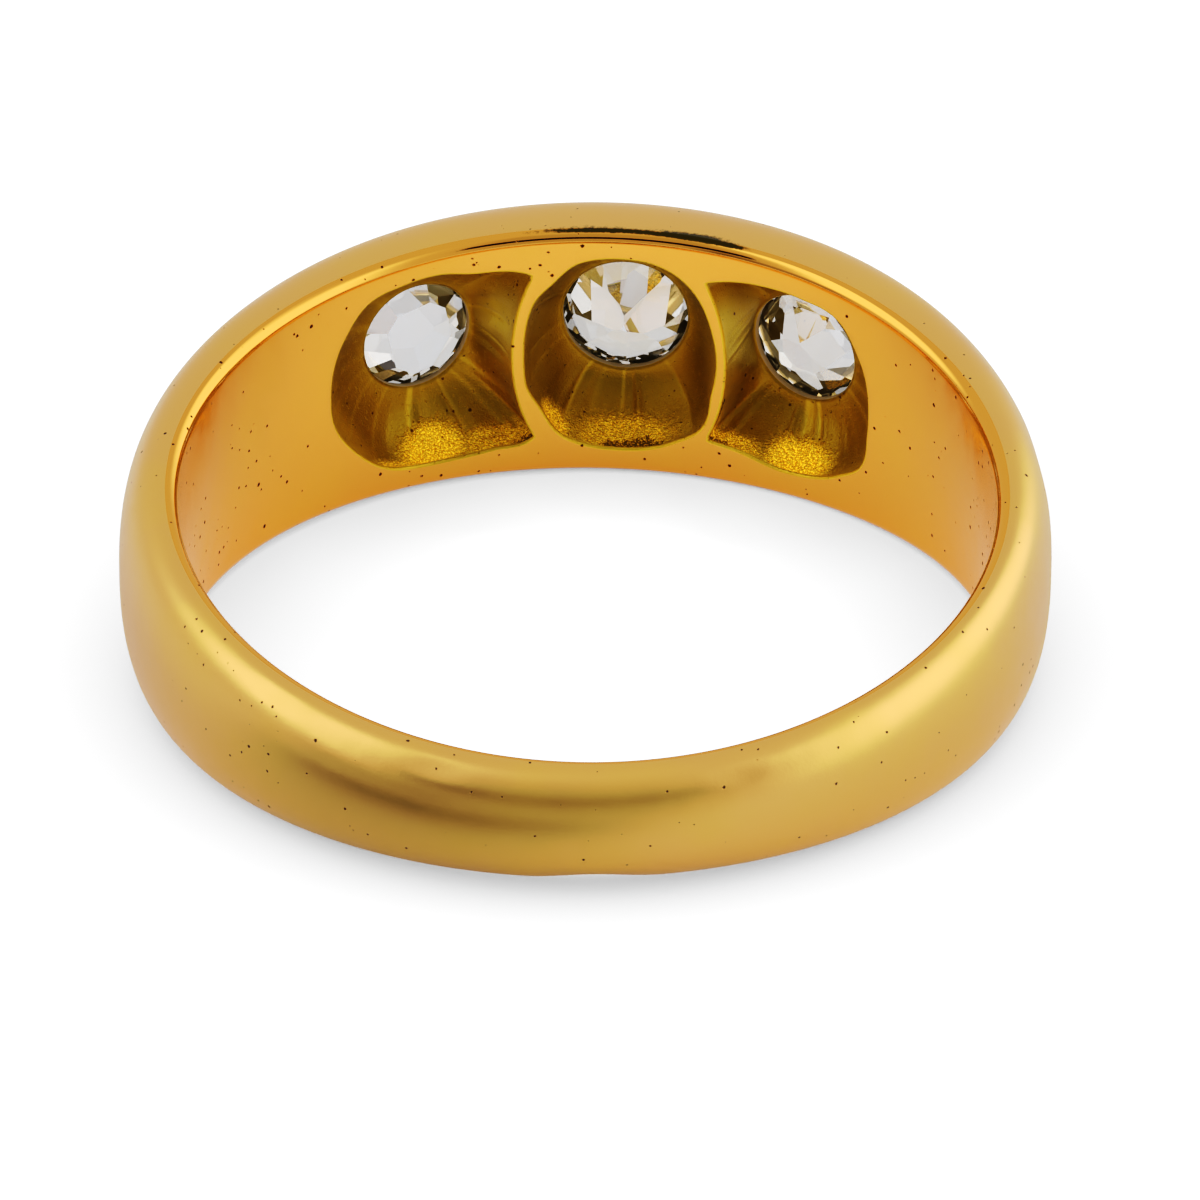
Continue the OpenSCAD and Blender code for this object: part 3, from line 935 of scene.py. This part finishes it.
def new_group(name, inputs, outputs):
    """An empty node group, with its input sockets by name and the node that takes its results."""
    tree = bpy.data.node_groups.new(name, "ShaderNodeTree")
    for label, value in inputs:
        socket = tree.interface.new_socket(name=label, in_out="INPUT", socket_type="NodeSocketFloat")
        socket.default_value = value
    for label in outputs:
        tree.interface.new_socket(name=label, in_out="OUTPUT", socket_type="NodeSocketFloat")
    return tree, add(tree, "NodeGroupInput").outputs, add(tree, "NodeGroupOutput")


def scaled(tree, vector, scale):
    """A vector with its length changed."""
    return add(tree, "ShaderNodeVectorMath", {0: vector, "Scale": scale}, operation="SCALE").outputs[0]


def in_mm(tree):
    """Places on a piece, in millimetres."""
    return scaled(tree, add(tree, "ShaderNodeTexCoord").outputs["Object"], 1 / MM)


def pits_group():
    """Small round pits, some here and some there."""
    tree, given, result = new_group("Pits", (("Per mm", 3.4), ("Share", 0.3), ("Radius", 0.03)), ("Mask",))
    where = in_mm(tree)
    waves = add(tree, "ShaderNodeTexNoise", {"Vector": where, "Scale": PIT_WAVES_PER_MM, "Detail": 2.0})
    away = scaled(tree, waves.outputs["Color"], PIT_WAVE)
    spot = add(tree, "ShaderNodeVectorMath", (where, away), operation="ADD").outputs[0]
    cells = add(tree, "ShaderNodeTexVoronoi", {"Vector": spot, "Scale": given["Per mm"]})
    draw = add(tree, "ShaderNodeSeparateColor", (cells.outputs["Color"],)).outputs
    crowd = mapped(tree, noise(tree, where, PIT_CROWDS_PER_MM, 1.0), 0.4, 0.66, *PIT_CROWDING)
    chosen = math(tree, "LESS_THAN", draw[0], math(tree, "MULTIPLY", given["Share"], crowd))
    usual = math(tree, "MULTIPLY", given["Radius"], given["Per mm"])
    size = math(tree, "MULTIPLY", usual, mapped(tree, draw[1], 0.0, 1.0, *PIT_SIZES, smooth=False))
    bottom = math(tree, "MULTIPLY", size, PIT_BOTTOM)
    hole = mapped(tree, cells.outputs["Distance"], bottom, size, 1.0, 0.0)
    tree.links.new(math(tree, "MULTIPLY", hole, chosen), result.inputs["Mask"])
    return tree


def worn_group(ring):
    """Uneven old metal: fine grain, slow clouds and hairlines that run round the ring."""
    tree, given, result = new_group("Worn metal", (("Grain per mm", 11.0),), ("Grain", "Cloud", "Hairlines"))
    where = in_mm(tree)
    upright = add(tree, "ShaderNodeVectorRotate", {"Vector": where, "Rotation": (-ring.lean, -ring.roll, 0)},
                  rotation_type="EULER_XYZ").outputs[0]
    drawn = add(tree, "ShaderNodeVectorMath", (upright, HAIRLINES_PER_MM), operation="MULTIPLY").outputs[0]
    tree.links.new(noise(tree, where, given["Grain per mm"], 3.0, 0.6), result.inputs["Grain"])
    tree.links.new(noise(tree, where, CLOUDS_PER_MM, 3.0, 0.55), result.inputs["Cloud"])
    tree.links.new(noise(tree, drawn, 1.0, 3.0, 0.7), result.inputs["Hairlines"])
    return tree


def placed(tree, group, **values):
    """A group in a material, with its own values."""
    new = add(tree, "ShaderNodeGroup", node_tree=group)
    for name, value in values.items():
        new.inputs[name.replace("_", " ").capitalize()].default_value = value
    return new.outputs


def colour(rgb):
    """A colour with its full cover."""
    return (*rgb, 1.0)


def painted(tree, name):
    """How much of something is painted on the surface here."""
    return add(tree, "ShaderNodeAttribute", attribute_name=name).outputs["Fac"]


def bumped(tree, height, distance, normal=None):
    """A normal that follows small heights, over one that is given or the surface's own."""
    inputs = {"Strength": 1.0, "Distance": distance, "Height": height, "Normal": normal}
    return add(tree, "ShaderNodeBump", inputs).outputs[0]


def new_material(name):
    """A new material with its nodes and its shader."""
    material = bpy.data.materials.new(name)
    material.use_nodes = True
    shader = material.node_tree.nodes["Principled BSDF"]
    return material, material.node_tree, shader


# A finish of the gold: colour, roughness, how far it varies, grains in a millimetre, heights of grain,
# clouds and hairlines in micrometres, share and radius of the pits, share of tarnish, the thin film of wax
# and dust on it, and how much of the metal is bare. In the scoops, grains of fresh metal take the height of
# the clouds.
Finish = namedtuple(
    "Finish",
    "base rough vary grain_per_mm grain cloud hairlines pit_share pit_radius tarnish film metal",
    defaults=(1.0,),
)
# The fresh metal of the scoops: the strength of its painted glints, a glow that stands in for the light its
# many small faces scatter back, grains and speckles in a millimetre, how far the speckles tear the edge of a
# patch, and how fresh a lone fleck is
GLINT_LIGHT = 1.6
GRIT_PER_MM = 24.0
SPECKLE_PER_MM = 9.0
RAGGED = 1.2
FLECK = 0.55
# How far the clouds move the patina's border, and how much rougher soot is
PATINA_CLOUDS = 0.7
SOOT_ROUGH = 0.3
# How far gold leans to its mirrored colour where gold mirrors it
MIRROR_PALE = 0.55
# The film of wax and dust: its refractive index and its roughness
FILM_INDEX = 1.7
FILM_ROUGH = 0.4


def mirrored_pale(tree, base, look):
    """Gold as gold mirrors it: paler, because the photograph shows less red in the gold's own mirrors."""
    mirror = add(tree, "ShaderNodeLightPath").outputs["Is Glossy Ray"]
    return mixed(tree, math(tree, "MULTIPLY", mirror, MIRROR_PALE), base, colour(look.mirrored))


def torn(tree, amount, speckle, tear):
    """A painted amount whose border the speckles tear."""
    return math(tree, "MULTIPLY_ADD", math(tree, "SUBTRACT", speckle, 0.5), tear, amount)


def soot_and_dark_reflection_share(tree, speckle, tear):
    """Where the soot in the scoops and the painted dark reflection on the head's upper inner edge lie."""
    return mapped(tree, torn(tree, painted(tree, "soot"), speckle, tear), 0.3, 0.6)


def gold_material(name, look, groups, finish):
    """Gold as years of wear left it, in one of its finishes, with a painted dark reflection on the inner
    edge.
    """
    material, tree, shader = new_material(name)
    worn = placed(tree, groups["worn"], Grain_per_mm=finish.grain_per_mm)
    pits = placed(tree, groups["pits"], Share=finish.pit_share, Radius=finish.pit_radius)["Mask"]
    old = mapped(tree, worn["Cloud"], 0.38, 0.68, 0.0, finish.tarnish)
    clean = mixed(tree, old, colour(finish.base), colour(look.tarnish))
    # The painted dark reflection on the head's upper inner edge, in the soot colour, with a torn border
    black = soot_and_dark_reflection_share(tree, noise(tree, in_mm(tree), SPECKLE_PER_MM, 3.0, 0.7), 0.5 * RAGGED)
    dirty = mixed(tree, pits, mixed(tree, black, clean, colour(look.soot)), colour(look.pit))
    rough = mapped(tree, worn["Cloud"], 0.3, 0.7, finish.rough - finish.vary, finish.rough + finish.vary)
    normal = bumped(tree, worn["Grain"], finish.grain * MICRON)
    normal = bumped(tree, worn["Cloud"], finish.cloud * MICRON, normal)
    normal = bumped(tree, worn["Hairlines"], finish.hairlines * MICRON, normal)
    fill(tree, shader, {
        "Base Color": mirrored_pale(tree, dirty, look),
        "Metallic": finish.metal,
        "Roughness": math(tree, "ADD", rough, math(tree, "MULTIPLY", pits, PIT_ROUGH), clamp=True),
        "Coat Weight": finish.film,
        "Coat Roughness": FILM_ROUGH,
        "Coat IOR": FILM_INDEX,
        "Normal": bumped(tree, math(tree, "MULTIPLY", pits, -1.0), finish.pit_radius * MM, normal),
    })
    return material


def scoop_material(look, groups, finish):
    """The unpolished scoops: brown old gold, bright grainy metal with painted glints where the tool bit last,
    sooty rims.
    """
    material, tree, shader = new_material("gold_scoop")
    where = in_mm(tree)
    worn = placed(tree, groups["worn"], Grain_per_mm=finish.grain_per_mm)
    pits = placed(tree, groups["pits"], Share=finish.pit_share, Radius=finish.pit_radius)["Mask"]
    grit = add(tree, "ShaderNodeTexVoronoi", {"Vector": where, "Scale": GRIT_PER_MM}, feature="SMOOTH_F1")
    grain = grit.outputs["Distance"]
    speckle = noise(tree, where, SPECKLE_PER_MM, 3.0, 0.7)

    bright = painted(tree, "bright")
    clean = mapped(tree, torn(tree, bright, speckle, RAGGED), 0.1, 0.8)
    fleck = math(tree, "MULTIPLY", mapped(tree, speckle, 0.56, 0.72, 0.0, FLECK),
                 mapped(tree, worn["Cloud"], 0.4, 0.6))
    clean = math(tree, "MAXIMUM", clean, fleck)
    # Painted glints: a glow in the bright patches, strongest on the grains
    glint = math(tree, "MULTIPLY", bright, mapped(tree, grain, 0.1, 0.45, 1.0, 0.1))
    glint = math(tree, "MULTIPLY", math(tree, "MULTIPLY", glint, bright), clean)

    # Deepness: partly patina, partly painted shade, darker towards the hole
    deep = mapped(tree, torn(tree, painted(tree, "deepness"), worn["Cloud"], PATINA_CLOUDS), -0.1, 0.36)
    shade = math(tree, "MULTIPLY_ADD", painted(tree, "rays"), -RAY_SHARE, deep, clamp=True)
    patina = mixed(tree, shade, colour(look.tarnish), colour(look.patina))
    black = soot_and_dark_reflection_share(tree, speckle, 2 * RAGGED)
    base = mixed(tree, black, mixed(tree, clean, patina, colour(finish.base)), colour(look.soot))
    dirty = mixed(tree, pits, base, colour(look.pit))

    dull, keen = finish.rough + finish.vary, finish.rough - 2 * finish.vary
    rough = mapped(tree, clean, 0.0, 1.0, dull, keen, smooth=False)
    nuggets = math(tree, "MULTIPLY", grain, mapped(tree, clean, 0.0, 1.0, 0.12, 1.0))
    normal = bumped(tree, worn["Grain"], finish.grain * MICRON)
    fill(tree, shader, {
        "Base Color": mirrored_pale(tree, dirty, look),
        "Metallic": finish.metal,
        "Roughness": math(tree, "ADD", rough, math(tree, "MULTIPLY", black, SOOT_ROUGH), clamp=True),
        "Emission Color": mixed(tree, glint, BLACK, colour(look.glint)),
        "Emission Strength": GLINT_LIGHT,
        "Normal": bumped(tree, nuggets, finish.cloud * MICRON, normal),
    })
    material.cycles.emission_sampling = "NONE"
    return material


def gold_materials(ring, look):
    """The materials of the gold, in the order of its finishes."""
    groups = {"pits": pits_group(), "worn": worn_group(ring)}
    finishes = {
        "satin": Finish(look.gold, look.satin_rough, 0.05, 11, 2.0, 30, 0.8, 0.62, 0.039, 0.18, 0.5),
        "bore": Finish(look.polished, look.bore_rough, 0.05, 9, 0.5, 40, 0.4, 0.8, 0.046, 0.1, 0.0),
        "edge": Finish(look.polished, 0.08, 0.03, 9, 0.4, 12, 0.3, 0.8, 0.04, 0.05, 0.0),
        "scoop": Finish(look.hollow, 0.34, 0.06, 30, 7.0, 60, 0.0, 0.4, 0.045, 0.5, 0.0),
        "seat": Finish(look.seat, 0.6, 0.1, 9, 0.4, 10, 0.0, 0.05, 0.03, 0.0, 0.0, 0.2),
    }
    made = {"scoop": scoop_material(look, groups, finishes.pop("scoop"))}
    for name, finish in finishes.items():
        made[name] = gold_material("gold_" + name, look, groups, finish)
    return [made[name] for name in FINISHES]


# What the older and warmer parts of a stone leave of red, green and blue, and how rough dust makes it at most
STONE_WARM = (1.0, 0.98, 0.93)
STONE_DUST = 0.05


def stone_material(look):
    """A clear old stone with a breath of dust on its facets."""
    material, tree, shader = new_material("clear_stone")
    where = in_mm(tree)
    warm = mapped(tree, noise(tree, where, 0.9, 2.0), 0.4, 0.7)
    tinted = colour(part * kept for part, kept in zip(look.stone, STONE_WARM))
    fill(tree, shader, {
        "Base Color": mixed(tree, warm, colour(look.stone), tinted),
        "Roughness": mapped(tree, noise(tree, where, 3.5, 4.0), 0.5, 0.8, 0.0, STONE_DUST),
        "IOR": look.stone_index,
        "Transmission Weight": 1.0,
    })
    return material


# A dark card at the front left, which the gold reflects and the picture leaves out: its middle in
# millimetres, how far it reaches and fades, and how much of the floor's light it takes
CARD_PLACE = (-12.0, -30.0, 0.0)
CARD_REACH = 12.0
CARD_FADE = 25.0
CARD_SHARE = 0.9
# The lamp under the floor: how far its full light and its fade reach from the middle, in millimetres, and
# its strength there
GLOW_REACH = 5.0
GLOW_FADE = 13.0
GLOW_MIDDLE = 0.4
# How far a piece shades the floor's whiteness round it, in millimetres, and how much of it a piece can take
# away
SHADE_REACH = 6.0
SHADE_SHARE = 0.83
# The floor's roughness, and the radius in metres and the sides of its round sheet
FLOOR_ROUGH = 0.9
FLOOR_RADIUS = 1.5
FLOOR_SIDES = 96


def floor_material(look):
    """A pale light table, which the picture shows whiter than the gold reflects it."""
    material, tree, shader = new_material("pale_floor")
    where = in_mm(tree)
    seen = add(tree, "ShaderNodeLightPath").outputs["Is Camera Ray"]
    away = add(tree, "ShaderNodeVectorMath", (where, CARD_PLACE), operation="DISTANCE").outputs["Value"]
    card = mapped(tree, away, CARD_REACH, CARD_FADE, 1 - CARD_SHARE, 1.0)
    lit = mapped(tree, seen, 0.0, 1.0, card, 0.0, smooth=False)
    middle = add(tree, "ShaderNodeVectorMath", (where,), operation="LENGTH").outputs["Value"]
    lamp = mapped(tree, middle, GLOW_REACH, GLOW_FADE, GLOW_MIDDLE, look.glow)
    glow = math(tree, "MULTIPLY", card, lamp)
    near = add(tree, "ShaderNodeAmbientOcclusion", {"Distance": SHADE_REACH * MM}, samples=1).outputs["AO"]
    shaded = (1 - SHADE_SHARE) * look.whitening
    white = mapped(tree, near, 0.0, 1.0, shaded, look.whitening, smooth=False)
    fill(tree, shader, {
        "Base Color": mixed(tree, lit, BLACK, colour(look.floor)),
        "Roughness": FLOOR_ROUGH,
        "Specular IOR Level": 0.0,
        "Emission Color": WHITE,
        "Emission Strength": mapped(tree, seen, 0.0, 1.0, glow, white, smooth=False),
    })
    material.cycles.emission_sampling = "NONE"
    return material


# Studio

# A panel of the light tent: its direction in degrees from the front of the stage, + to the right, and over
# the floor, half its size each way, the width of its soft edge, and what it adds to the light there or
# takes away
Panel = namedtuple("Panel", "azimuth elevation half_wide half_high soft gain")
# The light between the panels, and the least that a dark panel leaves
TENT_LIGHT = 0.66
LEAST_LIGHT = 0.02
# How much of the plain white behind the ring shows through the stones
STONE_SHARE = 0.5
PANELS = (
    Panel(102, 28, 42, 30, 26, 0.95),     # wide soft box at the right
    Panel(-78, 48, 26, 29, 20, 0.95),     # soft box at the left
    Panel(0, 32, 36, 40, 20, -0.18),      # dark side of the tent, where the camera stands
    Panel(-44, 4, 20, 14, 14, -0.32),     # dark card at the left of the camera
    Panel(0, 31, 37, 7, 4, -1.0),         # camera and lens
)


def off_axis(tree, level, azimuth):
    """Angle in degrees between the level direction of a ray and an azimuth."""
    a = radians(azimuth)
    along = add(tree, "ShaderNodeVectorMath", (level, (sin(a), -cos(a), 0)), operation="DOT_PRODUCT")
    return math(tree, "DEGREES", math(tree, "ARCCOSINE", along.outputs["Value"]))


def sky(scene):
    """A light tent of soft boxes and dark cards, which the camera itself sees as plain white."""
    look = scene.studio_look
    world = bpy.data.worlds.new("light_tent")
    scene.world = world
    world.use_nodes = True
    tree = world.node_tree
    way = add(tree, "ShaderNodeTexCoord").outputs["Generated"]
    height = add(tree, "ShaderNodeSeparateXYZ", (way,)).outputs["Z"]
    elevation = math(tree, "DEGREES", math(tree, "ARCSINE", height))
    flat = add(tree, "ShaderNodeVectorMath", (way, (1, 1, 0)), operation="MULTIPLY").outputs[0]
    level = add(tree, "ShaderNodeVectorMath", (flat,), operation="NORMALIZE").outputs[0]
    light = TENT_LIGHT
    for panel in PANELS:
        beside = off_axis(tree, level, panel.azimuth)
        above = math(tree, "ABSOLUTE", math(tree, "SUBTRACT", elevation, panel.elevation))
        shares = [mapped(tree, away, half - panel.soft / 2, half + panel.soft / 2, 1.0, 0.0)
                  for away, half in ((beside, panel.half_wide), (above, panel.half_high))]
        part = math(tree, "MULTIPLY", *shares)
        light = math(tree, "MULTIPLY_ADD", part, panel.gain, light)
    light = math(tree, "MULTIPLY", math(tree, "MAXIMUM", light, LEAST_LIGHT), look.light)
    path = add(tree, "ShaderNodeLightPath").outputs
    through, seen = path["Is Transmission Ray"], path["Is Camera Ray"]
    share = math(tree, "MULTIPLY_ADD", through, STONE_SHARE, seen, clamp=True)
    light = mapped(tree, share, 0.0, 1.0, light, 1.0, smooth=False)
    background = tree.nodes["Background"]
    background.inputs["Color"].default_value = WHITE
    tree.links.new(light, background.inputs["Strength"])


def camera_matrix(scene):
    """The camera's place and turn, as the photograph was taken, in the resting ring's frame."""
    look = scene.studio_look
    a, e = look.azimuth, look.elevation
    back = Vector((sin(a) * cos(e), -cos(a) * cos(e), sin(e)))
    right = Vector((cos(a), sin(a), 0))
    rolled = Matrix.Rotation(look.roll, 3, back)
    right, up = rolled @ right, rolled @ back.cross(right)
    turn = resting(scene.ring_sizes)
    axes = turn @ Matrix((right, up, back)).transposed()
    spot = back * look.distance + right * look.aside + up * look.above
    return Matrix.Translation(turn @ spot + bore_place()) @ axes.to_4x4()


# The tone of the picture: how bright the film shows a light, as a share of white. Dim light falls off
# faster than it would by itself, which deepens the gold, and bright light is held back, which pales it. The
# last of a view's four curves acts on red, green and blue alike.
ALIKE = 3
FILM_WHITE = 1.4
FILM_TONES = (
    (0.0, 0.0),
    (0.05, 0.016),
    (0.145, 0.1),
    (0.27, 0.26),
    (0.45, 0.45),
    (0.55, 0.56),
    (0.8, 0.71),
    (1.1, 0.87),
    (1.4, 1.0),
)


def tone(view):
    """Gives the picture its tone curve."""
    view.view_transform = "Standard"
    view.use_curve_mapping = True
    mapping = view.curve_mapping
    mapping.white_level = (FILM_WHITE, FILM_WHITE, FILM_WHITE)
    points = mapping.curves[ALIKE].points
    points[0].location, points[1].location = (0.0, 0.0), (1.0, 1.0)
    for light, shown in FILM_TONES[1:-1]:
        points.new(light / FILM_WHITE, shown)
    mapping.update()


class RING_OT_band(bpy.types.Operator):
    """Build the gold band with its bore, scoops and seats"""

    bl_idname = "ring.band"
    bl_label = "Gold band"

    def execute(self, context):
        scene = context.scene
        mesh = build_band(scene)
        for material in gold_materials(scene.ring_sizes, scene.gold_look):
            mesh.materials.append(material)
        band = bpy.data.objects.new("gold_band", mesh)
        scene.collection.objects.link(band)
        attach(band, BODY)
        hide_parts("band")
        return {"FINISHED"}


class RING_OT_stones(bpy.types.Operator):
    """Cut the three clear stones, facet by facet"""

    bl_idname = "ring.stones"
    bl_label = "Stones"

    def execute(self, context):
        scene = context.scene
        material = stone_material(scene.gold_look)
        for stone in stones_of(scene.stone_sizes):
            mesh = stone_mesh(stone, scene.ring_sizes)
            mesh.materials.append(material)
            piece = bpy.data.objects.new("cut_" + stone.node, mesh)
            scene.collection.objects.link(piece)
            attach(piece, BODY)
            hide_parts(stone.node)
        return {"FINISHED"}


class RING_OT_stage(bpy.types.Operator):
    """Lay the pale floor and set the light tent and the camera"""

    bl_idname = "ring.stage"
    bl_label = "Stage"

    def execute(self, context):
        scene = context.scene
        mesh = bpy.data.meshes.new("pale_floor")
        built = bmesh.new()
        bmesh.ops.create_circle(built, cap_ends=True, segments=FLOOR_SIDES, radius=FLOOR_RADIUS)
        built.to_mesh(mesh)
        built.free()
        mesh.materials.append(floor_material(scene.studio_look))
        floor = bpy.data.objects.new("pale_floor", mesh)
        scene.collection.objects.link(floor)
        sky(scene)
        camera = bpy.data.objects.new("camera", bpy.data.cameras.new("camera"))
        camera.data.lens = scene.studio_look.lens
        camera.data.clip_start = MM
        camera.matrix_world = camera_matrix(scene)
        scene.collection.objects.link(camera)
        scene.camera = camera
        tone(scene.view_settings)
        return {"FINISHED"}


class RING_PT_panel(bpy.types.Panel):
    """Sizes, colours and steps of the ring"""

    bl_idname = "RING_PT_panel"
    bl_label = "Flush set ring"
    bl_space_type = "VIEW_3D"
    bl_region_type = "UI"
    bl_category = "Ring"

    def draw(self, context):
        for name, operator in (
            ("ring_sizes", "ring.band"),
            ("stone_sizes", None),
            ("gold_look", "ring.stones"),
            ("studio_look", "ring.stage"),
        ):
            box = self.layout.box()
            group = getattr(context.scene, name)
            for key in group.__annotations__:
                box.prop(group, key)
            if operator:
                box.operator(operator)


GROUPS = {
    "ring_sizes": RingSizes,
    "stone_sizes": StoneSizes,
    "gold_look": GoldLook,
    "studio_look": StudioLook,
}
CLASSES = (*GROUPS.values(), RING_OT_band, RING_OT_stones, RING_OT_stage, RING_PT_panel)


def register():
    for cls in CLASSES:
        bpy.utils.register_class(cls)
    for name, group in GROUPS.items():
        setattr(bpy.types.Scene, name, PointerProperty(type=group))


def unregister():
    for name in GROUPS:
        delattr(bpy.types.Scene, name)
    for cls in reversed(CLASSES):
        bpy.utils.unregister_class(cls)


def main():
    register()
    bpy.ops.ring.band()
    bpy.ops.ring.stones()
    bpy.ops.ring.stage()


if __name__ == "__main__":
    main()
